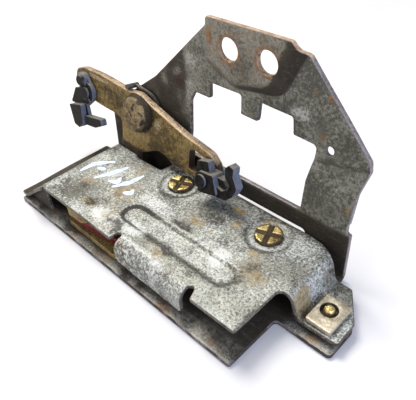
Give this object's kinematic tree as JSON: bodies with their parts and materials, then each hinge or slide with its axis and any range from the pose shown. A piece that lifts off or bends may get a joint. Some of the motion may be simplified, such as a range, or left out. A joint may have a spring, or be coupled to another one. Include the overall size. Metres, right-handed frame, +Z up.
{
  "type": "vehicle door latch",
  "caption": "Vehicle door latch on a folded sheet-steel mounting frame, with a pressed casing over a claw and pawl and a bell-crank release lever with rod clips.",
  "frame": {"origin": "underside of the base, midway between the two pivot pins", "axes": "+X along the base's length towards the tab, +Y to the back (the upright's side), +Z up, off the base"},
  "size_m": [0.157, 0.0576, 0.077],
  "materials": {
    "galvanised": "mottled, dull, with white oxide and rust",
    "galvanised_cover": "mottled, dull, with white oxide and rust",
    "gold_steel": "yellow-passivated, worn",
    "lever_gold": "yellow-passivated, worn",
    "rivet_steel": "worn, peened",
    "pin_brass": "staked, dirty",
    "tab_steel": "dull grey",
    "hidden_steel": "greased",
    "spring_steel": "drawn wire",
    "red_liner": "dull red",
    "dark_plastic": "moulded, worn edges",
    "stop_rubber": "moulded"
  },
  "bodies": {
    "frame": {"mounting_frame": "galvanised", "casing_cover": "galvanised_cover", "claw_pivot_pin": "pin_brass", "pawl_pivot_pin": "pin_brass", "slide_guides": "hidden_steel", "claw_stop": "stop_rubber", "tab_plate": "tab_steel", "tab_rivet": "pin_brass", "tab_spacer": "hidden_steel", "lever_rivet": "rivet_steel", "lever_washer": "hidden_steel"},
    "claw": {"claw_lower_leaf": "gold_steel", "claw_liner": "red_liner", "claw_upper_leaf": "gold_steel", "claw_bush": "hidden_steel", "claw_rivets": "hidden_steel", "claw_spring": "spring_steel"},
    "pawl": {"pawl": "gold_steel", "pawl_collar": "hidden_steel", "pawl_drive_pin": "hidden_steel", "pawl_spring": "spring_steel"},
    "slide": {"release_slide": "hidden_steel"},
    "lever": {"release_lever": "lever_gold", "lever_return_spring": "spring_steel", "left_clip_stud": "dark_plastic", "right_clip_stud": "dark_plastic"},
    "left_clip": {"left_rod_clip": "dark_plastic"},
    "right_clip": {"right_rod_clip": "dark_plastic"}
  },
  "joints": [
    {"name": "lever_swing", "type": "hinge", "parent": "frame", "child": "lever", "pos_m": [-0.0513, 0.00645, 0.03233], "axis": [0, -0.9799, 0.1994], "range_deg": [0, 9], "stiffness_Nm_per_rad": 0.3, "springref_deg": -20.05},
    {"name": "slide_travel", "type": "slide", "parent": "frame", "child": "slide", "axis": [1, 0, 0], "range_m": [0, 0.00425]},
    {"name": "pawl_swing", "type": "hinge", "parent": "frame", "child": "pawl", "pos_m": [0.022, 0, 0], "axis": [0, 0, 1], "range_deg": [0, 27.1]},
    {"name": "claw_swing", "type": "hinge", "parent": "frame", "child": "claw", "pos_m": [-0.022, 0, 0], "axis": [0, 0, 1], "range_deg": [-30, 0], "stiffness_Nm_per_rad": 0.15, "springref_deg": 20.05},
    {"name": "left_clip_swivel", "type": "hinge", "parent": "lever", "child": "left_clip", "pos_m": [-0.0852, 0.00615, 0.03086], "axis": [0, -0.9799, 0.1994], "range_deg": [-20, 25]},
    {"name": "right_clip_swivel", "type": "hinge", "parent": "lever", "child": "right_clip", "pos_m": [-0.0084, 0.00443, 0.02244], "axis": [0, -0.9799, 0.1994], "range_deg": [-15, 20]}
  ],
  "couplings": [
    {"joint": "slide_travel", "follows": "lever_swing", "m_per_rad": 0.027},
    {"joint": "pawl_swing", "follows": "lever_swing", "ratio": 3}
  ]
}
